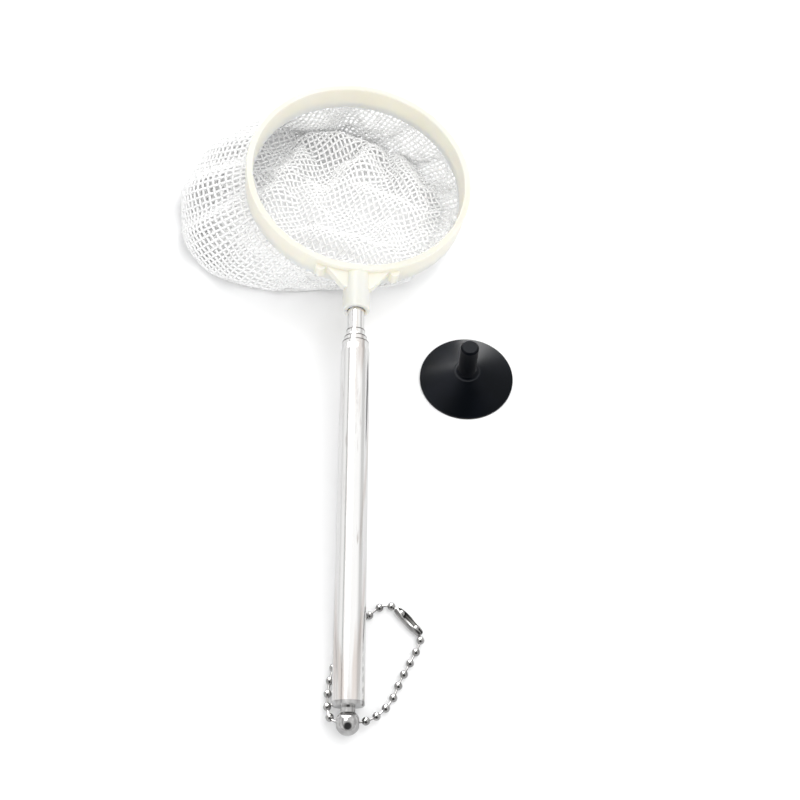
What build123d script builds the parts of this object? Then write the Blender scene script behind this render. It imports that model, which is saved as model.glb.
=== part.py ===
"""Aquarium fish net with a telescopic handle, its key chain and its suction cup holder.

Millimetres, +Z up. The net lies on a table, pushed together, with its ring towards +Y and the
suction cup standing beside it. The origin is on the table, under the middle of the footprint.

Handle pieces are drawn in the handle frame: +Y along the handle towards the ring, with y = 0 at the
socket's mouth. Pieces on the table are drawn in the table frame, with y = 0 under that mouth.
"""
import os
from math import atan2, cos, degrees, radians, sin, sqrt, tan

from build123d import *

# Handle tubes: four drawn steel tubes, each sliding in the one before it
OUTER_TUBE_OD = 9.5
TUBE_STEP = 1.3
TUBE_WALL = 0.3
OUTER_TUBE_LENGTH = 115.5
SECTION_2_SHOWN = 2.0
SECTION_3_SHOWN = 2.6
TIP_SHOWN = 7.8
NOSE_LENGTH = 3.6
LIP_LENGTH = 1.6
TAIL_STAGGER = 2.0
TAIL_CLEARANCE = 1.5

# Friction shims: split bronze sleeves on the tail of each sliding tube
SHIM_LENGTH = 8.0
SHIM_SPLIT = 40.0
SHIM_END_CLEARANCE = 0.1
STOP_LENGTH = 0.8
RUNNING_CLEARANCE = 0.05

# End knob: plug, cap, neck and drilled ball
PLUG_LENGTH = 6.0
CAP_THICKNESS = 1.4
CAP_BEVEL = 0.35
NECK_DIAMETER = 4.2
NECK_LENGTH = 1.6
BALL_DIAMETER = 7.0
BALL_HOLE_DIAMETER = 3.0

# Ring frame: moulded hoop, handle socket, two gussets and two lugs
RING_OD = 81.0
RING_WALL = 2.4
RING_HEIGHT = 10.0
RING_EDGE_ROUND = 0.5
SOCKET_REACH = 13.5
SOCKET_OD = 9.2
SOCKET_EDGE_ROUND = 0.5
TIP_GRIP = 6.0
POST_GRIP = 5.6
POST_CLEARANCE = 0.12
GUSSET_REACH = 6.2
GUSSET_DEPTH = 6.0
GUSSET_THICKNESS = 3.0
GUSSET_TOP = 3.0
LUG_DIAMETER = 3.6
LUG_HEIGHT = 4.6
LUG_SPACING = 25.6

# Net bag: its hem is pressed into a groove under the hoop
HEM_WIDTH = 1.0
HEM_DEPTH = 2.2
HEM_DROP = 0.6
BAG_WALL = 0.8
BAG_BELLY_SHARE = 0.5
SEAM_WIDTH = 1.2
SEAM_HEIGHT = 1.6
SEAM_LIFT = 0.2
SEAM_CORNER = (6.0, 62.0)

# Netting, as a plain grid of openings in the bag
OPENING_WIDTH = 6.0
OPENING_BAR = 3.0
OPENING_BORDER = 2.5
WALL_OPENINGS = 32

# Bag outlines on the table, as a middle point and a reach every 30 degrees from +X
BELLY_MIDDLE = (-7.0, 56.0)
BELLY_REACH = (44.0, 43.0, 41.0, 41.0, 45.0, 51.0, 54.0, 50.0, 42.0, 37.0, 38.0, 41.0)
EDGE_MIDDLE = (-12.0, 60.0)
EDGE_REACH = (44.0, 41.0, 39.0, 42.0, 50.0, 54.0, 53.5, 53.0, 43.0, 37.0, 38.0, 41.0)

# Key chain: hollow beads on short links, closed by a sheet-metal clasp
BEAD_DIAMETER = 2.4
BEAD_PITCH = 3.65
CORNER_SHARE = 0.45
LINK_DIAMETER = 0.6
LINK_GRIP = 0.25
CLASP_LENGTH = 10.2
CLASP_WALL = 0.25
CLASP_CLEARANCE = 0.1
CLASP_SLOT = 1.1
CLASP_END_HOLE = 2.1
CLASP_END_TAPER = 1.0

# Key chain on the table: where the clasp lies, and the chain's route from clasp bead to clasp bead
CLASP_NEAR_END = (21.0, -106.6, 1.55)
CLASP_FAR_END = (13.7, -98.7, 1.55)
CHAIN_POINTS = [
    (19.5, -105.0, 1.55),
    (21.2, -107.0, 1.5),
    (20.4, -110.2, 1.2),
    (17.6, -115.4, 1.2),
    (14.6, -120.8, 1.2),
    (12.6, -126.2, 1.2),
    (8.6, -130.6, 2.2),
    (4.3, -133.1, 4.75),
    (-4.3, -133.1, 4.75),
    (-6.2, -129.2, 1.9),
    (-6.2, -122.8, 1.2),
    (-4.4, -114.6, 1.2),
    (-0.4, -107.4, 1.2),
    (4.8, -101.2, 1.2),
    (9.4, -97.5, 1.2),
    (12.7, -97.7, 1.4),
    (15.2, -100.3, 1.55),
]

# Suction cup: soft cone with a post that plugs into the socket
CUP_DIAMETER = 32.0
CUP_RIM_WIDTH = 1.6
CUP_RIM_THICKNESS = 0.9
CUP_CONE_HEIGHT = 5.6
CUP_CROWN_DIAMETER = 9.0
CUP_HOLLOW_HEIGHT = 2.6
POST_DIAMETER = 6.0
POST_TOP = 20.0
POST_CHAMFER = 0.6
POST_FOOT_ROUND = 1.2
CUP_PLACE = (37.8, -16.0)

# Resting pose: the bunched bag holds the ring up, the cap lies on the table
HANDLE_PITCH = 5.5
HEAD_ROLL = 9.5
CAP_TABLE_GAP = 0.45

# Smallest length that counts
TINY = 0.001


def tube_radius(index):
    """Outer radius of a handle tube, 0 for the outermost."""
    return (OUTER_TUBE_OD - index * TUBE_STEP) / 2


def tube_bore(index):
    """Inner radius of a handle tube."""
    return tube_radius(index) - TUBE_WALL


# Stations along the handle, from the socket's mouth back to the ball
SECTION_3_MOUTH = -TIP_SHOWN
SECTION_2_MOUTH = SECTION_3_MOUTH - SECTION_3_SHOWN
OUTER_MOUTH = SECTION_2_MOUTH - SECTION_2_SHOWN
OUTER_TAIL = OUTER_MOUTH - OUTER_TUBE_LENGTH
SECTION_2_TAIL = OUTER_TAIL + PLUG_LENGTH + TAIL_CLEARANCE
SECTION_3_TAIL = SECTION_2_TAIL + TAIL_STAGGER
TIP_TAIL = SECTION_3_TAIL + TAIL_STAGGER
TIP_MOUTH = POST_GRIP + TIP_GRIP
CAP_END = OUTER_TAIL - CAP_THICKNESS
NECK_END = CAP_END - NECK_LENGTH
BALL_PLACE = NECK_END - sqrt(BALL_DIAMETER**2 - NECK_DIAMETER**2) / 2
SHIM_START = STOP_LENGTH + SHIM_END_CLEARANCE
STOP_START = SHIM_START + SHIM_LENGTH + SHIM_END_CLEARANCE
RING_PLACE = SOCKET_REACH + RING_OD / 2
HEM_RADIUS = RING_OD / 2 - RING_WALL / 2

# Where the handle frame and the rolled head frame stand on the table
HANDLE_LIFT = (
    CAP_TABLE_GAP
    - CAP_END * sin(radians(HANDLE_PITCH))
    + tube_radius(0) * cos(radians(HANDLE_PITCH))
)
HANDLE_FRAME = Pos(0, 0, HANDLE_LIFT) * Rot(HANDLE_PITCH, 0, 0)
HEAD_FRAME = HANDLE_FRAME * Rot(0, HEAD_ROLL, 0) * Pos(0, RING_PLACE, 0)


def turned(points, sweep=360.0):
    """Solid turned about the handle axis from (radius, station) corners."""
    with BuildPart() as part:
        with BuildSketch(Plane.XY):
            with BuildLine():
                Polyline(*points, close=True)
            make_face()
        revolve(axis=Axis.Y, revolution_arc=sweep)
    return part.part


def nose(index, mouth):
    """Outer and inner corners of a mouth drawn in on the next tube."""
    lip = tube_radius(index + 1) + RUNNING_CLEARANCE
    outside = [
        (tube_radius(index), mouth - NOSE_LENGTH),
        (lip + TUBE_WALL, mouth - LIP_LENGTH),
        (lip + TUBE_WALL, mouth),
    ]
    inside = [
        (lip, mouth),
        (lip, mouth - LIP_LENGTH),
        (tube_bore(index), mouth - NOSE_LENGTH),
    ]
    return outside + inside


def straight_mouth(index, mouth):
    """Corners of a plain open mouth."""
    return [(tube_radius(index), mouth), (tube_bore(index), mouth)]


def tail_stops(index, tail):
    """Corners of the two collars that hold a shim on a sliding tube's tail."""
    radius = tube_radius(index)
    collar = tube_bore(index - 1) - 2 * RUNNING_CLEARANCE
    return [
        (collar, tail),
        (collar, tail + STOP_LENGTH),
        (radius, tail + STOP_LENGTH),
        (radius, tail + STOP_START),
        (collar, tail + STOP_START),
        (collar, tail + STOP_START + STOP_LENGTH),
        (radius, tail + STOP_START + STOP_LENGTH),
    ]


def outer_tube():
    start = [(tube_bore(0), OUTER_TAIL), (tube_radius(0), OUTER_TAIL)]
    return turned(start + nose(0, OUTER_MOUTH))


def sliding_tube(index, tail, mouth_corners):
    start = [(tube_bore(index), tail)]
    return turned(start + tail_stops(index, tail) + mouth_corners)


def friction_shim(index, tail, bore_clearance):
    """Split sleeve that rubs in the tube outside it."""
    inside = tube_radius(index) + bore_clearance
    outside = tube_bore(index - 1) - RUNNING_CLEARANCE
    back = tail + SHIM_START
    front = back + SHIM_LENGTH
    corners = [(inside, back), (outside, back), (outside, front), (inside, front)]
    return turned(corners, 360.0 - SHIM_SPLIT)


def end_knob():
    """Plug and cap turned with a ball, drilled across for the chain."""
    radius = BALL_DIAMETER / 2
    plug_end = OUTER_TAIL + PLUG_LENGTH
    with BuildPart() as part:
        with BuildSketch(Plane.XY):
            with BuildLine():
                Polyline(
                    (0, BALL_PLACE - radius),
                    (0, plug_end),
                    (tube_bore(0), plug_end),
                    (tube_bore(0), OUTER_TAIL),
                    (tube_radius(0), OUTER_TAIL),
                    (tube_radius(0), CAP_END + CAP_BEVEL),
                    (tube_radius(0) - CAP_BEVEL, CAP_END),
                    (NECK_DIAMETER / 2, CAP_END),
                    (NECK_DIAMETER / 2, NECK_END),
                )
                ThreePointArc(
                    (NECK_DIAMETER / 2, NECK_END),
                    (radius, BALL_PLACE),
                    (0, BALL_PLACE - radius),
                )
            make_face()
        revolve(axis=Axis.Y)
        with Locations(Location((0, BALL_PLACE, 0), (0, 90, 0))):
            Cylinder(BALL_HOLE_DIAMETER / 2, BALL_DIAMETER, mode=Mode.SUBTRACT)
    return part.part


def along_socket(radius, length):
    """Cylinder from the socket's mouth towards the ring."""
    start = Location((0, -RING_PLACE, 0), (-90, 0, 0))
    return start * Cylinder(radius, length, align=(Align.CENTER, Align.CENTER, Align.MIN))


def hem_ring(bottom, height):
    """Square-sided ring as wide as the hem, from a level under the hoop's middle."""
    grow = (Align.CENTER, Align.CENTER, Align.MIN)
    outside = Cylinder(HEM_RADIUS + HEM_WIDTH / 2, height, align=grow)
    inside = Cylinder(HEM_RADIUS - HEM_WIDTH / 2, height, align=grow)
    return Pos(0, 0, bottom) * (outside - inside)


def gusset(side):
    """Flat web between the socket and the hoop."""
    tip = SOCKET_OD / 2 + GUSSET_REACH
    back = -sqrt(HEM_RADIUS**2 - tip**2)
    wall = -sqrt((RING_OD / 2) ** 2 - tip**2)
    corners = [
        (0, -RING_OD / 2 - GUSSET_DEPTH),
        (side * SOCKET_OD / 2, -RING_OD / 2 - GUSSET_DEPTH),
        (side * tip, wall),
        (side * tip, back),
        (0, back),
    ]
    web = make_face(Polyline(*corners, close=True))
    return Pos(0, 0, GUSSET_TOP - GUSSET_THICKNESS) * extrude(web, GUSSET_THICKNESS, (0, 0, 1))


def ring_frame():
    """Hoop, socket, gussets and lugs of one moulding, about the hoop's middle."""
    section = Plane.XZ * Pos(HEM_RADIUS, 0) * RectangleRounded(RING_WALL, RING_HEIGHT, RING_EDGE_ROUND)
    hoop = revolve(section, Axis.Z)
    socket = along_socket(SOCKET_OD / 2, RING_PLACE - HEM_RADIUS)
    socket = fillet(socket.edges().group_by(Axis.Y)[0], SOCKET_EDGE_ROUND)
    fittings = socket + gusset(-1) + gusset(1)
    lug_place = -sqrt((RING_OD / 2) ** 2 - (LUG_SPACING / 2) ** 2)
    for side in (-1, 1):
        fittings += Pos(side * LUG_SPACING / 2, lug_place, 0) * Cylinder(LUG_DIAMETER / 2, LUG_HEIGHT)
    fittings -= Cylinder(HEM_RADIUS, 2 * RING_HEIGHT)
    post_bore = along_socket(POST_DIAMETER / 2 + POST_CLEARANCE, POST_GRIP)
    tip_bore = along_socket(tube_radius(3) + RUNNING_CLEARANCE, TIP_MOUTH + RUNNING_CLEARANCE)
    groove = hem_ring(-RING_HEIGHT / 2, HEM_DEPTH)
    return hoop + fittings - post_bore - tip_bore - groove


def bag_hem():
    """Stitched hem of the bag, wedged into the groove under the hoop."""
    return hem_ring(-RING_HEIGHT / 2 - HEM_DROP, HEM_DEPTH + HEM_DROP)


def bag_mouth(inset):
    """Closed bag outline where it meets the hem."""
    radius = HEM_RADIUS + BAG_WALL / 2 - inset
    level = -RING_HEIGHT / 2 - HEM_DROP
    points = []
    for step in range(len(EDGE_REACH)):
        turn = radians(360 / len(EDGE_REACH) * step)
        points.append((HEAD_FRAME * Pos(radius * cos(turn), radius * sin(turn), level)).position)
    return points


def bag_outline(middle, reach, heights, inset):
    """Closed bag outline over the table, from its reach and height in each direction."""
    points = []
    for step, (length, height) in enumerate(zip(reach, heights)):
        turn = radians(360 / len(reach) * step)
        across = middle[0] + (length - inset) * cos(turn)
        along = middle[1] + (length - inset) * sin(turn)
        points.append(Vector(across, along, height))
    return points


def bag_body(inset):
    """Closed body of the collapsed bag, drawn in by an inset all round."""
    mouth = bag_mouth(inset)
    belly_heights = [BAG_BELLY_SHARE * point.Z for point in mouth]
    edge_heights = [inset] * len(mouth)
    rings = [
        mouth,
        bag_outline(BELLY_MIDDLE, BELLY_REACH, belly_heights, inset),
        bag_outline(EDGE_MIDDLE, EDGE_REACH, edge_heights, inset),
    ]
    wires = []
    for points in rings:
        wires.append(Wire([Edge.make_spline(points, periodic=True)]))
    return Solid.make_loft(wires)


def at_turn(values, turn):
    """Value at an angle in degrees, between values that are evenly spaced round a circle."""
    place = turn % 360 / 360 * len(values)
    before = int(place)
    after = (before + 1) % len(values)
    return values[before] + (values[after] - values[before]) * (place - before)


def past_hem(point):
    """How far a place on the table lies outside the hem, seen from above."""
    mouth = bag_mouth(0)
    middle = sum(mouth, Vector()) / len(mouth)
    return Vector(point.X - middle.X, point.Y - middle.Y).length - HEM_RADIUS


def base_openings():
    """Square prisms on a grid, through the base; clear of the hem they go through the lobe too."""
    pitch = OPENING_WIDTH + OPENING_BAR
    half = OPENING_WIDTH / 2
    edge_middle = Vector(*EDGE_MIDDLE)
    steps = int(max(EDGE_REACH) / pitch)
    openings = []
    for column in range(-steps, steps + 1):
        for row in range(-steps, steps + 1):
            middle = edge_middle + Vector(column * pitch, row * pitch)
            corners = [middle + Vector(x, y) for x in (-half, half) for y in (-half, half)]
            rays = [corner - edge_middle for corner in corners]
            room = min(at_turn(EDGE_REACH, degrees(atan2(ray.Y, ray.X))) - ray.length for ray in rays)
            if room < OPENING_BORDER:
                continue
            in_lobe = min(past_hem(corner) for corner in corners) > OPENING_BORDER
            height = RING_OD if in_lobe else 4 * BAG_WALL
            openings.append(Pos(*middle) * Box(OPENING_WIDTH, OPENING_WIDTH, height))
    return openings


def wall_openings():
    """A row of prisms out through the short wall, where the bag's edge stays under the hoop."""
    levels = [point.Z for point in bag_mouth(0)]
    bottom = SEAM_LIFT + SEAM_HEIGHT + OPENING_BORDER / 2
    outward = (Align.MIN, Align.CENTER, Align.MIN)
    openings = []
    for step in range(WALL_OPENINGS):
        turn = 360 / WALL_OPENINGS * step
        edge = Vector(*EDGE_MIDDLE) + Vector(at_turn(EDGE_REACH, turn), 0).rotate(Axis.Z, turn)
        if past_hem(edge) > OPENING_BORDER:
            continue
        height = at_turn(levels, turn) - OPENING_BORDER - bottom
        prism = Box(RING_OD, OPENING_WIDTH, height, align=outward)
        openings.append(Pos(*EDGE_MIDDLE, bottom) * Rot(0, 0, turn) * prism)
    return openings


def net_bag():
    """Shell of the collapsed bag, open all over like coarse netting."""
    shell = bag_body(0) - bag_body(BAG_WALL)
    return shell - base_openings() - wall_openings()


def bag_seam():
    """Sewn edge round the front of the lobe, flush with the bag."""
    corner = (Align.MAX, Align.MAX, Align.MIN)
    front = Pos(*SEAM_CORNER, SEAM_LIFT) * Box(RING_OD * 2, RING_OD * 2, SEAM_HEIGHT, align=corner)
    return (bag_body(-SEAM_WIDTH) & front) - bag_body(0)


def chain_route():
    """Chain centre line from one clasp bead to the other, with arcs as large as its runs allow."""
    points = [Vector(*point) for point in CHAIN_POINTS]
    radii = []
    for before, corner, after in zip(points, points[1:], points[2:]):
        half_turn = radians((corner - before).get_angle(after - corner)) / 2
        shorter = min((corner - before).length, (after - corner).length)
        radii.append(CORNER_SHARE * shorter / tan(half_turn))
    print("chain corner radii:", [round(radius, 1) for radius in radii])
    return FilletPolyline(*points, radius=radii)


def bead_centres(route):
    """Even places along the chain, one at each end."""
    count = round(route.length / BEAD_PITCH)
    print("chain length:", round(route.length, 1), "beads:", count + 1)
    pitch = route.length / count
    return [route.position_at(step * pitch, PositionMode.LENGTH) for step in range(count + 1)]


def chain_beads(centres):
    return Compound([Pos(*centre) * Sphere(BEAD_DIAMETER / 2) for centre in centres])


def chain_links(centres):
    """Short rods that join each bead to the next."""
    links = []
    for start, end in zip(centres, centres[1:]):
        length = (end - start).length - BEAD_DIAMETER + 2 * LINK_GRIP
        middle = Plane((start + end) / 2, z_dir=end - start)
        links.append(middle * Cylinder(LINK_DIAMETER / 2, length))
    return Compound(links)


def chain_clasp():
    """Folded sheet sleeve, drawn in at both ends to hold a bead in each."""
    inside = BEAD_DIAMETER / 2 + CLASP_CLEARANCE
    half = CLASP_LENGTH / 2
    end = CLASP_END_HOLE / 2
    shoulder = half - CLASP_END_TAPER
    outside_corners = [(end, half), (end + CLASP_WALL, half), (inside + CLASP_WALL, shoulder)]
    inside_corners = [(inside, -shoulder), (inside, shoulder)]
    mirrored = [(radius, -station) for radius, station in reversed(outside_corners)]
    sleeve = turned(outside_corners + mirrored + inside_corners)
    slot_length = CLASP_LENGTH - 4 * CLASP_END_TAPER
    rise = (Align.CENTER, Align.CENTER, Align.MIN)
    sleeve -= Box(CLASP_SLOT, slot_length, CLASP_LENGTH, align=rise)
    return sleeve


def suction_cup():
    """Soft cone with a shallow hollow under it and a post on top."""
    rim = CUP_DIAMETER / 2
    post = POST_DIAMETER / 2
    corners = [
        (rim - CUP_RIM_WIDTH, 0),
        (rim, 0),
        (rim, CUP_RIM_THICKNESS),
        (CUP_CROWN_DIAMETER / 2, CUP_CONE_HEIGHT),
        (post, CUP_CONE_HEIGHT),
        (post, POST_TOP),
        (0, POST_TOP),
        (0, CUP_HOLLOW_HEIGHT),
    ]
    section = make_face(Plane.XZ * Polyline(*corners, close=True))
    cup = revolve(section, Axis.Z)
    foot = cup.edges().filter_by(GeomType.CIRCLE).filter_by(
        lambda edge: abs(edge.radius - post) < TINY and edge.center().Z < POST_TOP - TINY
    )
    cup = fillet(foot, POST_FOOT_ROUND)
    top = cup.edges().filter_by(GeomType.CIRCLE).group_by(Axis.Z)[-1]
    return chamfer(top, POST_CHAMFER)


def on_table():
    """Every piece in its place on the table, by node name."""
    centres = bead_centres(chain_route())
    clasp_start = Vector(*CLASP_NEAR_END)
    clasp_end = Vector(*CLASP_FAR_END)
    clasp_turn = degrees(atan2(clasp_end.Y - clasp_start.Y, clasp_end.X - clasp_start.X)) - 90
    clasp_middle = (clasp_start + clasp_end) / 2
    return {
        "outer_tube": HANDLE_FRAME * outer_tube(),
        "tube_section_2": HANDLE_FRAME * sliding_tube(1, SECTION_2_TAIL, nose(1, SECTION_2_MOUTH)),
        "tube_section_3": HANDLE_FRAME * sliding_tube(2, SECTION_3_TAIL, nose(2, SECTION_3_MOUTH)),
        "tip_tube": HANDLE_FRAME * sliding_tube(3, TIP_TAIL, straight_mouth(3, TIP_MOUTH)),
        "shim_section_2": HANDLE_FRAME * friction_shim(1, SECTION_2_TAIL, 0),
        "shim_section_3": HANDLE_FRAME * friction_shim(2, SECTION_3_TAIL, 0),
        "shim_tip": HANDLE_FRAME * friction_shim(3, TIP_TAIL, RUNNING_CLEARANCE),
        "end_knob": HANDLE_FRAME * end_knob(),
        "chain_beads": chain_beads(centres),
        "chain_links": chain_links(centres),
        "chain_clasp": Pos(*clasp_middle) * Rot(0, 0, clasp_turn) * chain_clasp(),
        "ring_frame": HEAD_FRAME * ring_frame(),
        "bag_hem": HEAD_FRAME * bag_hem(),
        "net_bag": net_bag(),
        "bag_seam": bag_seam(),
        "suction_cup": Pos(*CUP_PLACE, 0) * suction_cup(),
    }


pieces = on_table()
solid_pieces = [shape for name, shape in pieces.items() if not name.startswith("chain")]
footprint = Compound(solid_pieces).bounding_box()
ORIGIN_SHIFT = Pos(-footprint.center().X, -footprint.center().Y, 0)
os.makedirs("parts", exist_ok=True)
for name, shape in pieces.items():
    export_step(ORIGIN_SHIFT * shape, f"parts/{name}.step")
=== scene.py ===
# %% [markdown]
# # An aquarium fish net, dressed in Blender
#
# The part is a small fish net: a moulded ivory hoop with a white knitted bag, a steel handle that
# slides together like an aerial, a key chain of beads through the ball on its end, and a black
# suction cup that stands beside it. The packed CAD model is the fixed frame. Rigid pieces keep their
# CAD shape and get a finish, and the soft pieces and the chain are made again here as what they are.
#
# The cells run from top to bottom. Each group starts by saying what the real piece is like, how it
# could be made in Blender, and why this way was taken.

# %% Load the frame
import math

import bmesh
import bpy
import numpy as np
from mathutils import Matrix, Vector


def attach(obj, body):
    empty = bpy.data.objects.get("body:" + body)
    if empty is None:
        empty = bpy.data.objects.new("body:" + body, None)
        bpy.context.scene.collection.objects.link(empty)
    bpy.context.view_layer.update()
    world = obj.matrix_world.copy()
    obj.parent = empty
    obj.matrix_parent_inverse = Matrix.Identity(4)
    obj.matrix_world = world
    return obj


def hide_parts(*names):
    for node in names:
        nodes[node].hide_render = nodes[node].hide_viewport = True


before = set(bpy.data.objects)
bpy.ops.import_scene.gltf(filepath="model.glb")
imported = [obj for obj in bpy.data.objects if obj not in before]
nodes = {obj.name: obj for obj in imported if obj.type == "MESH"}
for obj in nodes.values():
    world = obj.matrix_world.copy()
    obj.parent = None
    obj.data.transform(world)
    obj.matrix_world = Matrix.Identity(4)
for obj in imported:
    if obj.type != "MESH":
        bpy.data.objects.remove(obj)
scene = bpy.context.scene
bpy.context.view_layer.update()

# %% [markdown]
# ## The table frame
#
# The CAD source places everything on the table in millimetres, from the mouth of the ring's socket.
# The packed part has its origin under the middle of the footprint instead. One small helper turns the
# first into the second, so that the sizes below read like the ones on the drawing. The handle's frame
# and the head's frame are tilted as they are in the CAD source.

# %% Places on the table
MM = 0.001
FULL_TURN = 2 * math.pi
TABLE_SHIFT = Vector((0.006496, 0.016074, 0.0))
HANDLE_PITCH = math.radians(5.5)
HEAD_ROLL = math.radians(9.5)
HANDLE_LIFT = 17.571
RING_PLACE = 54.0
HANDLE_FRAME = Matrix.Translation((0, 0, HANDLE_LIFT)) @ Matrix.Rotation(HANDLE_PITCH, 4, "X")
HEAD_FRAME = HANDLE_FRAME @ Matrix.Rotation(HEAD_ROLL, 4, "Y") @ Matrix.Translation((0, RING_PLACE, 0))


def on_table(x, y, z):
    """A place in millimetres from the socket's mouth, as a point of the part's frame in metres."""
    return Vector((x, y, z)) * MM + TABLE_SHIFT


def in_frame(lines):
    """Lines in millimetres on the table as lines of the part's frame."""
    return [[on_table(*point) for point in line] for line in lines]


def turns_of(count):
    """Directions that are spread evenly over a full turn."""
    return [FULL_TURN * step / count for step in range(count)]


def round_point(radius, turn, height):
    """A place at a distance and a direction from the Z axis."""
    return radius * math.cos(turn), radius * math.sin(turn), height


print("hoop's middle:", [round(value, 4) for value in on_table(*HEAD_FRAME.translation)])

# %% [markdown]
# ## Objects and meshes
#
# The rings of a bead, the rows of a folded strip and the sections of a band are all rows of points, so
# one helper lays the faces between them. A finished piece is a plain mesh, without modifiers.

# %% Helpers for objects
def add_object(name, data):
    """A new object in the scene."""
    made = bpy.data.objects.new(name, data)
    scene.collection.objects.link(made)
    return made


def set_all(target, values):
    """Sets several properties of one thing."""
    for name, value in values.items():
        setattr(target, name, value)


def finished_mesh(made):
    """An object's shape as its modifiers leave it, as a new mesh."""
    bpy.context.view_layer.update()
    evaluated = made.evaluated_get(bpy.context.evaluated_depsgraph_get())
    return bpy.data.meshes.new_from_object(evaluated)


def rows_mesh(name, rows, closed_rows=False, closed_columns=False):
    """A smooth mesh over rows of points, with its faces turned outwards."""
    work = bmesh.new()
    grid = [[work.verts.new(point) for point in row] for row in rows]
    following = grid[1:] + grid[:1] if closed_rows else grid[1:]
    for before, after in zip(grid, following):
        count = len(before)
        for column in range(count if closed_columns else count - 1):
            other = (column + 1) % count
            work.faces.new((before[column], before[other], after[other], after[column]))
    bmesh.ops.recalc_face_normals(work, faces=work.faces)
    mesh = bpy.data.meshes.new(name)
    work.to_mesh(mesh)
    work.free()
    mesh.shade_smooth()
    return mesh


print("objects from the CAD model:", len(nodes))

# %% [markdown]
# ## The camera
#
# The picture looks down on the table from the handle's end, about 59 degrees above the horizon. A
# longer or shorter lens would change how fast the tube narrows towards the ring, so the lens was
# found from that narrowing and the place from the hoop's ellipse. The frame is square.

# %% Camera
CAMERA_PLACE = (11.98, -199.42, 294.2)
CAMERA_TURN = (30.74, -0.52, -0.10)
camera_data = bpy.data.cameras.new("studio_camera")
set_all(camera_data, {"sensor_fit": "HORIZONTAL", "sensor_width": 36.0, "lens": 45.18, "clip_start": 0.01})
camera = add_object("studio_camera", camera_data)
camera.location = on_table(*CAMERA_PLACE)
camera.rotation_euler = [math.radians(angle) for angle in CAMERA_TURN]
scene.camera = camera
print("camera is", round(camera.location.z * 1000), "mm above the table")

# %% [markdown]
# ## Node trees as Python
#
# Geometry and shader trees are both nets of nodes, so one pair of helpers serves both. `Socket` wraps
# an output, and its operators add Math nodes, so that a mask reads as `1 - streak * 0.3`. `Tree.node`
# makes any other node from its type, its settings and its inputs. Colours never go through the
# operators, because a Math node would turn them grey: they go through `Tree.tint`.

# %% Sockets and trees
def operator(operation, reflected=False):
    """A method that adds a Math node for an operator."""
    def method(self, other):
        first, second = (other, self) if reflected else (self, other)
        return self.tree.node("ShaderNodeMath", {"operation": operation}, {0: first, 1: second})
    return method


class Socket:
    """One output socket of a node tree, with sums and products as Math nodes."""
    __add__, __radd__ = operator("ADD"), operator("ADD", reflected=True)
    __sub__, __rsub__ = operator("SUBTRACT"), operator("SUBTRACT", reflected=True)
    __mul__, __rmul__ = operator("MULTIPLY"), operator("MULTIPLY", reflected=True)

    def __init__(self, tree, socket):
        self.tree = tree
        self.socket = socket

    def out(self, name):
        """Another output of the same node."""
        return Socket(self.tree, self.socket.node.outputs[name])


class Tree:
    """A node tree that is filled by one method, with short names for the nodes that recur."""

    def __init__(self, node_tree):
        self.node_tree = node_tree

    def link(self, value, socket):
        self.node_tree.links.new(value.socket, socket)

    def node(self, kind, settings=None, inputs=None, output=0):
        """Adds a node, sets it up, then fills its sockets with values or links."""
        made = self.node_tree.nodes.new(kind)
        set_all(made, settings or {})
        for name, value in (inputs or {}).items():
            if isinstance(value, Socket):
                self.link(value, made.inputs[name])
            else:
                made.inputs[name].default_value = value
        return Socket(self, made.outputs[output]) if made.outputs else None

    def ramp(self, value, low, high):
        """From 0 to 1 as a value goes from low to high."""
        limits = {"Value": value, "From Min": low, "From Max": high}
        return self.node("ShaderNodeMapRange", {"interpolation_type": "SMOOTHSTEP"}, limits)

    def tint(self, factor, first, second):
        """A colour between two colours, each of them a link or its red, green and blue."""
        ends = [end if isinstance(end, Socket) else (*end, 1.0) for end in (first, second)]
        return self.node("ShaderNodeMix", {"data_type": "RGBA"}, {0: factor, 6: ends[0], 7: ends[1]}, 2)

    def shade(self, value, low, high, first, second):
        """A colour that goes from the first to the second as a value goes from low to high."""
        return self.tint(self.ramp(value, low, high), first, second)

    def along(self, place, way):
        """How far a place lies in a direction."""
        return self.node("ShaderNodeVectorMath", {"operation": "DOT_PRODUCT"}, {0: place, 1: way}, "Value")


print("Tree has", [name for name in vars(Tree) if not name.startswith("_")])

# %% [markdown]
# What repeats along a line is left to Geometry Nodes. Beads, yarns and stitches all start from a mesh
# of edges, which a tree reads as a curve. It lays a tube on the curve, or one shape at every pitch, and
# ends in real geometry with one material. `grow` runs it and keeps the result as a mesh.

# %% Geometry trees
def geometry_tree(name, **sizes):
    """A Geometry Nodes tree, what it is given (edges, sizes and a material), and its edges as a curve."""
    group = bpy.data.node_groups.new(name, "GeometryNodeTree")
    for label, kind in {"Geometry": "Geometry", **sizes, "Material": "Material"}.items():
        group.interface.new_socket(label.replace("_", " "), in_out="INPUT", socket_type="NodeSocket" + kind)
    group.interface.new_socket("Geometry", in_out="OUTPUT", socket_type="NodeSocketGeometry")
    tree = Tree(group)
    given = tree.node("NodeGroupInput")
    line = tree.node("GeometryNodeMeshToCurve", inputs={"Mesh": given.out("Geometry")})
    return tree, given, line


def circle(tree, radius, sides):
    return tree.node("GeometryNodeCurvePrimitiveCircle", inputs={"Resolution": sides, "Radius": radius})


def tube_on(tree, line, radius, sides, caps=True):
    """A tube along a curve."""
    parts = {"Curve": line, "Profile Curve": circle(tree, radius, sides), "Fill Caps": caps}
    return tree.node("GeometryNodeCurveToMesh", inputs=parts)


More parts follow.
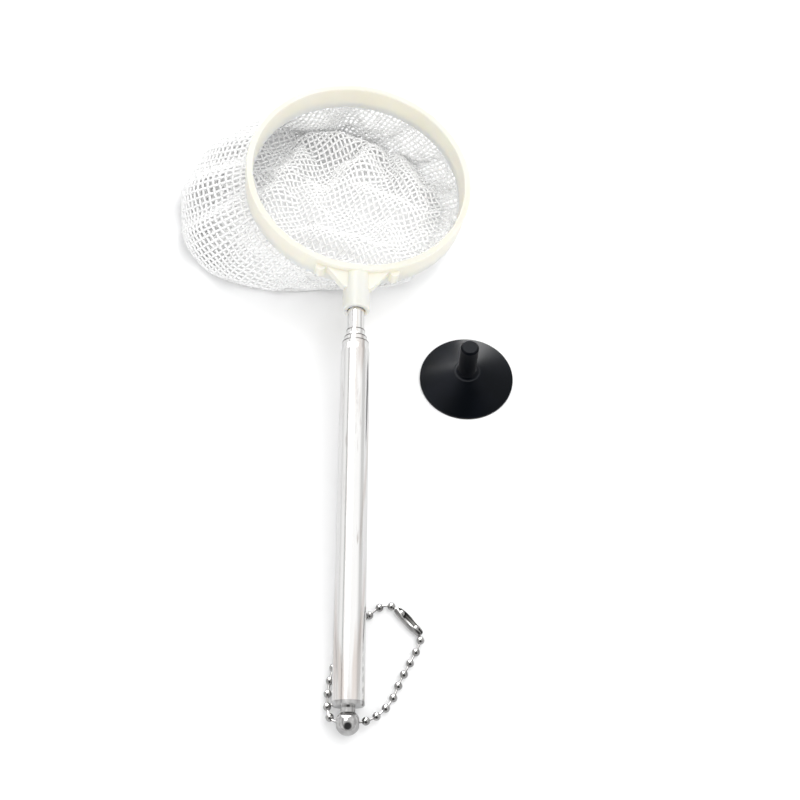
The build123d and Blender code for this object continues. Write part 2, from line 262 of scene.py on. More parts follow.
def repeat_on(tree, line, pitch, shape):
    """A shape at every pitch along a curve, turned the way the curve runs."""
    places = tree.node("GeometryNodeCurveToPoints", {"mode": "LENGTH"}, {"Curve": line, "Length": pitch})
    parts = {"Points": places, "Instance": shape, "Rotation": places.out("Rotation")}
    return tree.node("GeometryNodeInstanceOnPoints", inputs=parts)


def close_tree(tree, given, *shapes):
    """Ends a tree in real geometry of all its shapes, in the material that it is given."""
    joined = tree.node("GeometryNodeJoinGeometry")
    for shape in shapes:
        tree.link(shape, joined.socket.node.inputs["Geometry"])
    real = tree.node("GeometryNodeRealizeInstances", inputs={"Geometry": joined})
    painted = {"Geometry": real, "Material": given.out("Material")}
    tree.node("NodeGroupOutput", inputs={"Geometry": tree.node("GeometryNodeSetMaterial", inputs=painted)})


def wire_mesh(name, lines):
    """A mesh of edges only, one run of edges for each line of points."""
    points, edges = [], []
    for line in lines:
        first = len(points)
        points.extend(tuple(point) for point in line)
        edges.extend((first + step, first + step + 1) for step in range(len(line) - 1))
    mesh = bpy.data.meshes.new(name)
    mesh.from_pydata(points, edges, [])
    return mesh


def grow(name, lines, tree, **values):
    """Runs a geometry tree on lines of points and returns the result as an object with a plain mesh."""
    seed = add_object(name + "_seed", wire_mesh(name + "_lines", lines))
    modifier = seed.modifiers.new(name, "NODES")
    modifier.node_group = tree.node_tree
    for item in tree.node_tree.interface.items_tree:
        label = item.name.replace(" ", "_")
        if label in values:
            modifier[item.identifier] = values[label]
    mesh = finished_mesh(seed)
    seed.modifiers.remove(modifier)
    bpy.data.objects.remove(seed)
    mesh.name = name
    mesh.shade_smooth()
    mesh.calc_loop_triangles()
    print(name, "has", len(mesh.loop_triangles), "triangles")
    return add_object(name, mesh)


print("geometry trees so far:", len(bpy.data.node_groups))

# %% [markdown]
# ## Finishes
#
# Every finish is procedural and reads Object coordinates, which are metres here, so the grain keeps
# its real size. Each starts from the same recipe: a Principled shader whose constant numbers are set on
# its own sockets, and a few noises that change colour, roughness and bump.

# %% A finish from a few noises
class Finish(Tree):
    """A material's tree, with constants on the sockets of its Principled shader."""

    def __init__(self, name, **constants):
        self.material = bpy.data.materials.new(name)
        self.material.use_nodes = True
        super().__init__(self.material.node_tree)
        self.place = self.node("ShaderNodeTexCoord", output="Object")
        self.sockets = self.node_tree.nodes["Principled BSDF"].inputs
        for label, value in constants.items():
            self.sockets[label.replace("_", " ")].default_value = value

    def noise(self, scale, detail, stretch=(1, 1, 1), turn=(0, 0, 0)):
        """Noise that may be drawn out along an axis."""
        mapping = {"Vector": self.place, "Rotation": turn, "Scale": stretch}
        mapped = self.node("ShaderNodeMapping", inputs=mapping)
        return self.node("ShaderNodeTexNoise", inputs={"Vector": mapped, "Scale": scale, "Detail": detail})

    def connect(self, bump=None, **values):
        """Links values to the shader, and a bump, by its height and its depth in metres, to its normal."""
        if bump:
            height, depth = bump
            values["Normal"] = self.node("ShaderNodeBump", inputs={"Height": height, "Distance": depth})
        for label, value in values.items():
            self.link(value, self.sockets[label.replace("_", " ")])


print("materials so far:", len(bpy.data.materials))

# %% [markdown]
# ### Nickel and steel
#
# The chain and its clasp are nickel plated, the knob is turned and polished, and the tubes are drawn
# through a die, which leaves very fine lines along them. Those come from noise that is drawn out a
# hundredfold along the handle, with a warm and a dark tint, and rings round the knob from noise drawn
# out across it. A thin dark ring just inside each tube's mouth is painted shade. It stands for the
# shadow in the step down to the next tube. How far a place lies in the handle's direction says where
# it is on the handle, so each tube has its own mouth's distance.

# %% Nickel, turned steel and bronze
ALONG_HANDLE = (-HANDLE_PITCH, 0, 0)

nickel = Finish("chain_nickel", Metallic=1.0)
smudge = nickel.noise(420.0, 4.0)
pits = nickel.noise(2600.0, 2.0)
nickel_colour = nickel.shade(smudge, 0.35, 0.7, (0.32, 0.315, 0.31), (0.52, 0.515, 0.505))
nickel.connect((pits, 0.004 * MM), Base_Color=nickel_colour, Roughness=0.05 + smudge * 0.10)

turned_steel = Finish("turned_steel", Metallic=1.0)
tool_lines = turned_steel.noise(5200.0, 2.0, (0.02, 1, 0.02), ALONG_HANDLE)
smudge = turned_steel.noise(330.0, 3.0)
knob_colour = turned_steel.shade(smudge, 0.4, 0.75, (0.42, 0.415, 0.41), (0.62, 0.615, 0.61))
knob_roughness = 0.05 + tool_lines * 0.07 + smudge * 0.05
turned_steel.connect((tool_lines, 0.003 * MM), Base_Color=knob_colour, Roughness=knob_roughness)

bronze = Finish("spring_bronze", Metallic=1.0)
stain = bronze.noise(500.0, 4.0)
bronze_colour = bronze.shade(stain, 0.35, 0.7, (0.52, 0.30, 0.14), (0.66, 0.45, 0.22))
bronze.connect((stain, 0.01 * MM), Base_Color=bronze_colour, Roughness=0.22 + stain * 0.25)
print("metal finishes:", [metal.material.name for metal in (nickel, turned_steel, bronze)])

# %% Drawn steel for each tube
TUBE_MOUTHS = {"outer_tube": -12.4, "tube_section_2": -10.4, "tube_section_3": -7.8, "tip_tube": 40.0}
# Where the painted shade inside a tube's mouth begins and where it is full, in millimetres from the mouth.
MOUTH_SHADE_FROM = 0.45
MOUTH_SHADE_FULL = 0.2
HANDLE_WAY = HANDLE_FRAME.to_3x3() @ Vector((0, 1, 0))
HANDLE_START = on_table(*HANDLE_FRAME.translation).dot(HANDLE_WAY)


def drawn_steel(name, mouth):
    """Drawn tube with painted shade in a thin ring at its mouth, which lies at a place along the handle in
    millimetres.
    """
    steel = Finish(name, Metallic=1.0)
    draw_lines = steel.noise(900.0, 4.0, (1, 0.004, 1), ALONG_HANDLE)
    broad_lines = steel.noise(260.0, 2.0, (1, 0.01, 1), ALONG_HANDLE)
    handling = steel.noise(55.0, 3.0)
    station = (steel.along(steel.place, HANDLE_WAY) - HANDLE_START) * 1000
    # Painted shade: a thin dark ring just inside the mouth stands for the shadow in the step to the next
    # tube, and it is rougher there too.
    mouth_shade = steel.ramp(station, mouth - MOUTH_SHADE_FROM, mouth - MOUTH_SHADE_FULL)
    warm = steel.shade(broad_lines, 0.52, 0.68, (0.86, 0.855, 0.845), (0.70, 0.65, 0.62))
    lined = steel.shade(draw_lines, 0.62, 0.78, warm, (0.56, 0.52, 0.50))
    # The near-black colour here is the painted shade at the mouth.
    colour = steel.tint(mouth_shade, lined, (0.09, 0.085, 0.08))
    roughness = 0.07 + draw_lines * 0.10 + handling * 0.06 + mouth_shade * 0.3
    steel.connect((draw_lines, 0.004 * MM), Base_Color=colour, Roughness=roughness)
    return steel


tube_steel = {tube: drawn_steel(tube + "_steel", mouth) for tube, mouth in TUBE_MOUTHS.items()}
print("tube finishes:", [steel.material.name for steel in tube_steel.values()])

# %% [markdown]
# ### Ivory plastic, black rubber and white yarn
#
# The hoop is moulded in ivory polypropylene: slightly glossy, with faint flow marks and a fine grain.
# The cup is soft black rubber with a bluish bloom, worn a little greyer where fingers hold it. The bag
# is knitted from white polyester, whose fibres run along each yarn and lift in small lint. Light goes
# a little way into plastic and yarn before it comes out again, so both scatter it below their surface,
# over about their own thickness.

# %% Plastic, rubber and yarn finishes
ivory = Finish(
    "ivory_plastic", Specular_IOR_Level=0.4,
    Subsurface_Weight=0.7, Subsurface_Radius=(1.0, 0.85, 0.6), Subsurface_Scale=3 * MM,
)
flow = ivory.noise(38.0, 4.0, (1, 1, 0.5))
grain = ivory.noise(2400.0, 2.0)
ivory_colour = ivory.shade(flow, 0.3, 0.75, (0.865, 0.832, 0.735), (0.895, 0.875, 0.800))
ivory_roughness = 0.30 + flow * 0.12 + grain * 0.06
ivory.connect((grain, 0.012 * MM), Base_Color=ivory_colour, Roughness=ivory_roughness)

rubber = Finish("black_rubber", Specular_IOR_Level=0.10)
bloom = rubber.noise(85.0, 5.0)
skin = rubber.noise(1500.0, 3.0)
rubber_colour = rubber.shade(bloom, 0.4, 0.75, (0.0006, 0.0014, 0.0028), (0.0024, 0.0034, 0.0066))
rubber_roughness = 0.22 + bloom * 0.16 + skin * 0.05
rubber.connect((skin, 0.005 * MM), Base_Color=rubber_colour, Roughness=rubber_roughness)


def yarn_finish(name, dark, light):
    """Knitting yarn: fibres, a little lint and a slight difference from place to place."""
    yarn = Finish(
        name, Specular_IOR_Level=0.2, Sheen_Weight=0.15,
        Subsurface_Weight=0.6, Subsurface_Radius=(1.0, 1.0, 1.0), Subsurface_Scale=0.8 * MM,
    )
    fibres = yarn.noise(5200.0, 3.0)
    patches = yarn.noise(120.0, 3.0)
    colour = yarn.shade(fibres * 0.6 + patches * 0.4, 0.3, 0.62, dark, light)
    yarn.connect((fibres, 0.06 * MM), Base_Color=colour, Roughness=0.62 + fibres * 0.25)
    return yarn


net_yarn = yarn_finish("net_yarn", (0.925, 0.925, 0.925), (0.975, 0.975, 0.972))
binding_yarn = yarn_finish("binding_yarn", (0.90, 0.90, 0.89), (0.965, 0.965, 0.958))
print("soft finishes:", [soft.material.name for soft in (ivory, rubber, net_yarn, binding_yarn)])

# %% Finishes on the CAD pieces
CAD_FINISHES = {
    "ring_frame": (ivory, "ring_plastic"),
    **{tube: (steel, "tube_steel") for tube, steel in tube_steel.items()},
    "end_knob": (turned_steel, "tube_steel"),
    **{shim: (bronze, "shim_bronze") for shim in ("shim_section_2", "shim_section_3", "shim_tip")},
    "suction_cup": (rubber, "cup_rubber"),
}
for node_name, (finish, slot_name) in CAD_FINISHES.items():
    for material_slot in nodes[node_name].material_slots:
        material_slot.material = finish.material
print("CAD pieces with a finish:", len(CAD_FINISHES))

# %% [markdown]
# ## The key chain
#
# A bead chain is a row of hollow balls, rolled from strip, on short pins. It runs through the hole in
# the ball, forward under the handle on one side and round on the table on the other, and both ends
# snap into one clasp. It is free to lie as it likes, so its line is a smooth NURBS spline through the
# loose route of the CAD chain, in two runs that start in the middle of the ball. A Geometry Nodes tree
# walks along each line and sets a bead at every pitch, with a thin pin that joins them.

# %% The chain's two runs
CHAIN_RIGHT = [
    (0.0, -133.1, 4.75), (4.3, -133.1, 4.75), (8.6, -130.6, 2.2), (12.6, -126.2, 1.2), (14.6, -120.8, 1.2),
    (17.6, -115.4, 1.2), (20.4, -110.2, 1.2), (21.2, -107.0, 1.5), (19.5, -105.0, 1.55),
]
CHAIN_LEFT = [
    (0.0, -133.1, 4.75), (-4.3, -133.1, 4.75), (-6.2, -129.2, 1.9), (-6.2, -122.8, 1.2), (-4.4, -114.6, 1.2),
    (-0.4, -107.4, 1.2), (4.8, -101.2, 1.2), (9.4, -97.5, 1.2), (12.7, -97.7, 1.4), (15.2, -100.3, 1.55),
]


def smooth_line(name, route):
    """Points along the NURBS spline that a route's points pull into shape."""
    curve = bpy.data.curves.new(name, "CURVE")
    set_all(curve, {"dimensions": "3D", "resolution_u": 16})
    spline = curve.splines.new("NURBS")
    spline.points.add(len(route) - 1)
    for control, place in zip(spline.points, route):
        control.co = (*on_table(*place), 1.0)
    set_all(spline, {"order_u": 3, "use_endpoint_u": True})
    guide = add_object(name, curve)
    points = [vertex.co.copy() for vertex in finished_mesh(guide).vertices]
    bpy.data.objects.remove(guide)
    return points


def line_length(points):
    return sum((after - before).length for before, after in zip(points, points[1:]))


right_line = smooth_line("chain_right_line", CHAIN_RIGHT)
left_line = smooth_line("chain_left_line", CHAIN_LEFT)
print("chain runs in mm:", [round(1000 * line_length(line), 1) for line in (right_line, left_line)])

# %% [markdown]
# One bead is turned from a short profile: a ball with a small rolled lip round the hole at each end,
# where the pin goes in. It has a few hundred faces, because only about two dozen are needed.

# %% One bead
BEAD_RADIUS = 1.2 * MM
LIP_RADIUS = 0.42 * MM
HOLE_RADIUS = 0.25 * MM
HOLE_DEPTH = BEAD_RADIUS * 0.86
BEAD_STEPS = 10
BEAD_SIDES = 20

lip_turn = math.asin(LIP_RADIUS / BEAD_RADIUS)
bead_profile = [(HOLE_RADIUS, -HOLE_DEPTH)]
for step in range(BEAD_STEPS + 1):
    turn = lip_turn + (math.pi - 2 * lip_turn) * step / BEAD_STEPS
    bead_profile.append((BEAD_RADIUS * math.sin(turn), -BEAD_RADIUS * math.cos(turn)))
bead_profile.append((HOLE_RADIUS, HOLE_DEPTH))
bead_rings = [
    [round_point(radius, turn, height) for turn in turns_of(BEAD_SIDES)] for radius, height in bead_profile
]
bead = add_object("bead_pattern", rows_mesh("bead_pattern", bead_rings, closed_columns=True))
print("one bead has", len(bead.data.polygons), "faces")

# %% Beads and pins along a line
BEAD_PITCH = 3.65 * MM
FIRST_BEAD = 1.45 * MM
PIN_RADIUS = 0.3 * MM
PIN_SIDES = 8
PAST_ALL_ENDS = 1.0

chain_tree, given, chain_line = geometry_tree(
    "bead_chain", Bead="Object", Start="Float", Pitch="Float", Pin_Radius="Float"
)
bead_run = {"Curve": chain_line, 4: given.out("Start"), 5: PAST_ALL_ENDS}
bead_line = chain_tree.node("GeometryNodeTrimCurve", {"mode": "LENGTH"}, bead_run)
bead_info = {"Object": given.out("Bead")}
bead_shape = chain_tree.node("GeometryNodeObjectInfo", inputs=bead_info, output="Geometry")
beads = repeat_on(chain_tree, bead_line, given.out("Pitch"), bead_shape)
pins = tube_on(chain_tree, chain_line, given.out("Pin Radius"), PIN_SIDES)
close_tree(chain_tree, given, beads, pins)

chain_sizes = {"Bead": bead, "Pitch": BEAD_PITCH, "Pin_Radius": PIN_RADIUS, "Material": nickel.material}
chain_right = grow("chain_right", [right_line], chain_tree, Start=FIRST_BEAD, **chain_sizes)
chain_left = grow("chain_left", [left_line], chain_tree, Start=BEAD_PITCH - FIRST_BEAD, **chain_sizes)
bpy.data.objects.remove(bead)

# %% [markdown]
# The clasp is a strip of thin sheet, folded into a boat: a sleeve that is widest in its middle and
# drawn in at both ends, with its two edges left apart along the top, so that a bead slips in and is
# then held by the narrow end. It is a grid of points on that folded strip, with its thickness added by
# Solidify and its edges eased by Bevel.

# %% Clasp
CLASP_NEAR_END = on_table(21.0, -106.6, 1.55)
CLASP_FAR_END = on_table(13.7, -98.7, 1.55)
CLASP_MIDDLE_RADIUS = 1.52 * MM
CLASP_END_RADIUS = 0.98 * MM
CLASP_SHEET = 0.22 * MM
CLASP_EDGE = 0.06 * MM
CLASP_LEAN = 0.45
CLASP_ROWS = 28
CLASP_COLUMNS = 26
SLOT_AT_ENDS = 16
SLOT_WIDENING = 40
SLOT_SHARE = 0.82
clasp_way = CLASP_FAR_END - CLASP_NEAR_END


def clasp_row(row):
    """Points round the folded strip at one place of its length, along Y, with its opening upwards."""
    share = 2 * row / CLASP_ROWS - 1
    bulge = max(0.0, 1 - abs(share) ** 2.4) ** 0.75
    radius = CLASP_END_RADIUS + (CLASP_MIDDLE_RADIUS - CLASP_END_RADIUS) * bulge
    opening = math.radians(SLOT_AT_ENDS + SLOT_WIDENING * max(0.0, 1 - (share / SLOT_SHARE) ** 2))
    points = []
    for column in range(CLASP_COLUMNS + 1):
        turn = math.pi / 2 + opening + (FULL_TURN - 2 * opening) * column / CLASP_COLUMNS
        points.append((radius * math.cos(turn), share * clasp_way.length / 2, radius * math.sin(turn)))
    return points


clasp = add_object("clasp", rows_mesh("clasp", [clasp_row(row) for row in range(CLASP_ROWS + 1)]))
clasp.data.materials.append(nickel.material)
set_all(clasp.modifiers.new("sheet", "SOLIDIFY"), {"thickness": CLASP_SHEET, "offset": -1.0})
set_all(clasp.modifiers.new("soft_edge", "BEVEL"), {"width": CLASP_EDGE, "segments": 2})
folded_sheet = finished_mesh(clasp)
clasp.modifiers.clear()
clasp.data = folded_sheet
folded_sheet.shade_smooth()
clasp_turn = math.atan2(clasp_way.y, clasp_way.x) - math.pi / 2
clasp_place = Matrix.Translation((CLASP_NEAR_END + CLASP_FAR_END) / 2)
clasp_place = clasp_place @ Matrix.Rotation(clasp_turn, 4, "Z") @ Matrix.Rotation(CLASP_LEAN, 4, "Y")
folded_sheet.transform(clasp_place)
print("clasp has", len(folded_sheet.polygons), "faces")

# %% The chain rides on the handle
for piece in (chain_right, chain_left, clasp):
    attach(piece, "handle")
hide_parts("chain_beads", "chain_links")
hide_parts("chain_beads", "chain_links")
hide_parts("chain_clasp")
print("chain and clasp are on the handle")

# %% [markdown]
# ## The bag's shape
#
# The bag is a piece of open netting, sewn at its lower edge and pinched into a groove under the hoop.
# It has no stiffness to speak of: under the hoop it lies on the table in folds, and a lobe of it falls
# out to the left. Folds like that are best left to the cloth solver, but a bag dropped from nowhere
# never lies as the real one does. So the cloth starts as the bag of the CAD model, with a wall from
# the hem to its edge on the table and a base inside that edge. The folds that the picture shows start
# as low ridges across the base, and the wall starts with shallow pleats.

# %% Outlines of the bag
HEM_RADIUS = 39.3
HEM_LEVEL = -5.4
BELLY_MIDDLE = (-7.0, 56.0)
BELLY_REACH = (44.0, 43.0, 41.0, 41.0, 45.0, 51.0, 54.0, 50.0, 42.0, 37.0, 38.0, 41.0)
BELLY_LEVEL = 0.5
EDGE_MIDDLE = (-12.0, 60.0)
EDGE_REACH = (44.0, 41.0, 39.0, 42.0, 50.0, 54.0, 53.5, 53.0, 43.0, 37.0, 38.0, 41.0)
EDGE_INSET = 0.985
EDGE_LEVEL = 1.0


def smooth_reach(reach, turn):
    """Reach of an outline in a direction, between the ones that are given every 30 degrees."""
    count = len(reach)
    place = (turn / FULL_TURN * count) % count
    step = int(place)
    share = place - step
    before, first, second, after = (reach[(step + shift) % count] for shift in (-1, 0, 1, 2))
    slope_first, slope_second = (second - before) / 2, (after - first) / 2
    square, cube = share * share, share ** 3
    return (
        (2 * cube - 3 * square + 1) * first + (cube - 2 * square + share) * slope_first
        + (3 * square - 2 * cube) * second + (cube - square) * slope_second
    )


def outline_point(middle, reach, turn, height, share=1.0):
    """Place on an outline, or at a share of the way to it from its middle."""
    across, along, level = round_point(smooth_reach(reach, turn) * share, turn, height)
    return np.array((middle[0] + across, middle[1] + along, level))


print("bag reaches", round(smooth_reach(EDGE_REACH, math.pi), 1), "mm to the left of its middle")

# %% Ridges of the base
FOLDS = [  # start, end, height and width of a ridge
    ((-33, 50), (-26, 84), 8.0, 6.5),
    ((-26, 87), (2, 91), 7.0, 6.5),
    ((3, 90), (-5, 64), 7.0, 6.0),
    ((-6, 70), (22, 56), 4.5, 6.0),
    ((14, 90), (25, 64), 5.5, 5.5),
    ((-26, 44), (8, 36), 4.0, 5.5),
    ((-22, 70), (-12, 52), 3.5, 5.0),
    ((-52, 60), (-46, 86), 4.0, 6.0),
]
FOLD_WANDER = 2.2
BASE_LIFT = 0.4
RIPPLE = 0.8


def base_height(x, y):
    """Height of the base over the table, and how near it is to a crest, from 0 to 1."""
    place = np.array((x + FOLD_WANDER * math.sin(y / 8), y + FOLD_WANDER * math.sin(x / 10)))
    rise, nearness = 0.0, 0.0
    for start, end, height, width in FOLDS:
        way = np.subtract(end, start)
        share = min(max(np.dot(place - start, way) / np.dot(way, way), 0.0), 1.0)
        distance = np.linalg.norm(place - start - way * share)
        near = math.exp(-(distance / width) ** 2) * (1 - 0.5 * (2 * share - 1) ** 2)
        rise, nearness = max(rise, height * near), max(nearness, near)
    ripple = RIPPLE + RIPPLE * math.sin(0.31 * x + 0.22 * y) * math.sin(0.17 * x - 0.29 * y + 1.0)
    return EDGE_LEVEL + BASE_LIFT + rise + ripple, nearness


print("base is", round(base_height(-26, 84)[0], 1), "mm high where its first ridge ends")

# %% The bag as rows of sample points
COLUMNS = 108
WALL_ROWS = 12
BASE_RINGS = 18
CREST = 0.8
PLEATS = 13
PLEAT_HEIGHT = 1.3
PLEAT_OUT, PLEAT_UP = 0.5, 0.8
RISE_AT_EDGE = 5


def wall_row(share):
    """Points round the wall at a share of the way from the hem down to the edge."""
    points = []
    for turn in turns_of(COLUMNS):
        top = np.array(HEAD_FRAME @ Vector(round_point(HEM_RADIUS, turn, HEM_LEVEL)))
        belly = outline_point(BELLY_MIDDLE, BELLY_REACH, turn, BELLY_LEVEL * top[2])
        edge = outline_point(EDGE_MIDDLE, EDGE_REACH, turn, EDGE_LEVEL, EDGE_INSET)
        wall = top * (1 - share) * (1 - 2 * share) + belly * 4 * share * (1 - share)
        pleat = PLEAT_HEIGHT * math.sin(PLEATS * turn + 1.5 * math.sin(2 * turn)) * math.sin(math.pi * share)
        pleat_way = np.array(round_point(PLEAT_OUT, turn, PLEAT_UP))
        points.append(wall + edge * share * (2 * share - 1) + pleat_way * pleat)
    return points


def base_ring(share):
    """Points round the base at a share of the way from its middle to the edge, and which are on a crest."""
    points, crests = [], []
    for column, turn in enumerate(turns_of(COLUMNS)):
        point = outline_point(EDGE_MIDDLE, EDGE_REACH, turn, 0.0, EDGE_INSET * share)
        rise = min(1.0, (1 - share) * RISE_AT_EDGE)
        height, nearness = base_height(point[0], point[1])
        point[2] = EDGE_LEVEL + rise * (height - EDGE_LEVEL)
        points.append(point)
        if nearness > CREST:
            crests.append(column)
    return points, crests


bag_rows = [wall_row(row / WALL_ROWS) for row in range(WALL_ROWS + 1)]
bag_crests = []
for ring in range(1, BASE_RINGS):
    points, crests = base_ring(1 - ring / BASE_RINGS)
    bag_crests.extend(len(bag_rows) * COLUMNS + column for column in crests)
    bag_rows.append(points)
bag_rows = np.array(bag_rows)
bag_middle = np.array((*EDGE_MIDDLE, base_height(*EDGE_MIDDLE)[0]))
print("bag sample points:", bag_rows.size // 3 + 1, "of them on crests:", len(bag_crests))

# %% [markdown] The solver works best on objects of a metre or so, where its smallest distances don't
# matter. So the bag is simulated twenty times too large, over a plain floor. Its hem, its lower edge
# and the crests of its ridges are held. The rest grows by a few per cent, and gravity lays what no
# longer fits in slack and small folds. The result is read back into the same rows of points.

# %% The bag as cloth
SIM_SCALE = 0.02
SIM_FRAMES = 30
BAG_GROWTH = 0.06
FLOOR_REACH = 200
GRAVITY_SHARE = 0.3
CLOTH = {
    "quality": 5, "mass": 0.25, "vertex_group_mass": "held",
    "tension_stiffness": 25.0, "compression_stiffness": 25.0,
    "shear_stiffness": 6.0, "bending_stiffness": 3.0,
    "tension_damping": 10.0, "compression_damping": 10.0, "air_damping": 2.0,
    "shrink_min": -BAG_GROWTH, "shrink_max": -BAG_GROWTH,
}
CONTACT = {
    "distance_min": 0.55 * SIM_SCALE, "collision_quality": 2,
    "use_self_collision": True, "self_distance_min": 0.7 * SIM_SCALE, "vertex_group_self_collisions": "base",
}


def bag_cloth():
    """The sample points as a cloth object, with groups for what is held and for the base."""
    points = [tuple(point * SIM_SCALE) for point in (*bag_rows.reshape(-1, 3), bag_middle)]
    last = (len(bag_rows) - 1) * COLUMNS
    edge = WALL_ROWS * COLUMNS
    faces = []
    for low in range(0, last, COLUMNS):
        for column in range(COLUMNS):
            after = (column + 1) % COLUMNS
            high = low + COLUMNS
            faces.append((low + column, low + after, high + after, high + column))
    for column in range(COLUMNS):
        faces.append((last + column, last + (column + 1) % COLUMNS, len(points) - 1))
    mesh = bpy.data.meshes.new("bag_cloth")
    mesh.from_pydata(points, [], faces)
    cloth = add_object("bag_cloth", mesh)
    held = [*range(COLUMNS), *range(edge, edge + COLUMNS), *bag_crests]
    cloth.vertex_groups.new(name="held").add(held, 1.0, "REPLACE")
    cloth.vertex_groups.new(name="base").add(list(range(edge, len(points))), 1.0, "REPLACE")
    return cloth


bag_object = bag_cloth()
print("cloth has", len(bag_object.data.polygons), "faces")

# %% Let the bag fall into folds
def sample_points(mesh):
    """A cloth mesh's points, in millimetres on the table again."""
    return np.array([vertex.co for vertex in mesh.vertices]) / SIM_SCALE


def fall(cloth):
    """Runs the cloth solver and returns the sample points where they came to rest."""
    reach = FLOOR_REACH * SIM_SCALE
    corners = [(-reach, -reach, 0), (reach, -reach, 0), (reach, reach, 0), (-reach, reach, 0)]
    floor_mesh = bpy.data.meshes.new("sim_floor")
    floor_mesh.from_pydata(corners, [], [(0, 1, 2, 3)])
    sim_floor = add_object("sim_floor", floor_mesh)
    sim_floor.modifiers.new("collision", "COLLISION")
    set_all(sim_floor.collision, {"thickness_outer": 0.3 * SIM_SCALE, "cloth_friction": 20.0})
    solver = cloth.modifiers.new("fall", "CLOTH")
    set_all(solver.settings, CLOTH)
    solver.settings.effector_weights.gravity = GRAVITY_SHARE
    set_all(solver.collision_settings, CONTACT)
    solver.point_cache.frame_end = SIM_FRAMES
    for step in range(1, SIM_FRAMES + 1):
        scene.frame_set(step)
    rested = sample_points(cloth.evaluated_get(bpy.context.evaluated_depsgraph_get()).data)
    scene.frame_set(1)
    bpy.data.objects.remove(sim_floor)
    return rested


rested = fall(bag_object)
bpy.data.objects.remove(bag_object)
bag_rows = rested[:-1].reshape(bag_rows.shape)
bag_middle = rested[-1]
print("bag lies from", rested.min(0).round(1), "to", rested.max(0).round(1), "mm on the table")

# %% [markdown]
# ## The netting
#
# The netting is an open square mesh of about two millimetres, of soft yarn nearly as thick as half a
# hole. An image of holes on a sheet would look flat from near by, so each yarn is a real tube. In the
# wall, yarns run down from the hem and round the bag, and they stop at the seam wherever it cuts them.
# The base is one flat cut of netting, so its two sets of yarns cross it in straight lines before it
# folds. Both follow the sample points. Alternate crossings go over and under by a fraction of the yarn,
# and a Geometry Nodes tree lays a tube on every line.

# %% Places on the bag between its sample points
MESH_PITCH = 2.1
WEAVE = 0.17
HALF_STEPS = 2
across_way = np.roll(bag_rows, -1, axis=1) - np.roll(bag_rows, 1, axis=1)
bag_normals = np.cross(across_way, np.gradient(bag_rows, axis=0))
bag_normals /= np.linalg.norm(bag_normals, axis=2, keepdims=True)


def weave(half, index):
    """Lift of a yarn, by its half steps along itself and its own number: crossings go over and under."""
    if half % HALF_STEPS:
        return 0.0
    return WEAVE if (half // HALF_STEPS + index) % 2 else -WEAVE


def grid_point(row, column, lift):
    """Place between four sample points, lifted off the bag's surface."""
    low = min(int(row), len(bag_rows) - 2)
    first = int(column) % COLUMNS
    second = (first + 1) % COLUMNS
    down, across = row - low, column - int(column)
    corners = {
        (low, first): (1 - down) * (1 - across),
        (low, second): (1 - down) * across,
        (low + 1, first): down * (1 - across),
        (low + 1, second): down * across,
    }
    return sum(weight * (bag_rows[corner] + lift * bag_normals[corner]) for corner, weight in corners.items())


def wall_point(turn, share, lift=0.0):
    """Place on the bag's wall, by its direction and its share of the way from hem to edge."""
    column = (turn / FULL_TURN * COLUMNS) % COLUMNS
    row = min(max(share, 0.0), 1.0) * WALL_ROWS
    return grid_point(row, column, lift)


def base_point(x, y, lift):
    """Place on the bag's base for a place on its flat cut, or None outside the cut."""
    across, along = x - EDGE_MIDDLE[0], y - EDGE_MIDDLE[1]
    turn = math.atan2(along, across) % FULL_TURN
    share = math.hypot(across, along) / (EDGE_INSET * smooth_reach(EDGE_REACH, turn))
    if share > 1:
        return None
    ring = (1 - share) * BASE_RINGS
    column = turn / FULL_TURN * COLUMNS
    if ring > BASE_RINGS - 1:
        inner = grid_point(WALL_ROWS + BASE_RINGS - 1, column, lift)
        return inner + (bag_middle - inner) * (ring - BASE_RINGS + 1)
    return grid_point(WALL_ROWS + ring, column, lift)


def wall_depth(turn, steps=24):
    """Length of the wall from hem to edge, along its surface."""
    places = [wall_point(turn, step / steps) for step in range(steps + 1)]
    return sum(np.linalg.norm(after - before) for before, after in zip(places, places[1:]))


print("wall is", [round(wall_depth(math.radians(turn)), 1) for turn in (0, 90, 180, 270)], "mm deep")

# %% Yarns of the wall
WALL_COLUMNS = 140
wall_turns = turns_of(WALL_COLUMNS)
wall_depths = [wall_depth(turn) for turn in wall_turns]


def yarns_down():
    """Lines down the wall, from the hem to the edge."""
    lines = []
    for column, (turn, depth) in enumerate(zip(wall_turns, wall_depths)):
        steps = int(depth / MESH_PITCH * HALF_STEPS)
        half_step = MESH_PITCH / HALF_STEPS / depth
        yarn = [wall_point(turn, half * half_step, weave(half, column)) for half in range(steps + 1)]
        lines.append(yarn + [wall_point(turn, 1.0)])
    return lines


def yarns_round():
    """Lines round the wall, which stop where the seam cuts them."""
    closed_turns, closed_depths = wall_turns + [FULL_TURN], wall_depths + [wall_depths[0]]
    steps = WALL_COLUMNS * HALF_STEPS
    runs = []
    for row in range(1, int(max(wall_depths) / MESH_PITCH) + 1):
        runs.append([])
        for half in range(steps + 1):
            turn = FULL_TURN * half / steps
            depth = np.interp(turn, closed_turns, closed_depths)
            if row * MESH_PITCH < depth:
                runs[-1].append(wall_point(turn, row * MESH_PITCH / depth, -weave(half, row)))
            else:
                runs.append([])
    return [run for run in runs if len(run) > 1]


wall_lines = yarns_down() + yarns_round()
print("yarns in the wall:", len(wall_lines))

# %% [markdown]
# The base is cut larger than the outline it lies in, so that it has something to fold, and its pitch on
# the outline is smaller by that share. Soft mesh is never quite straight either.

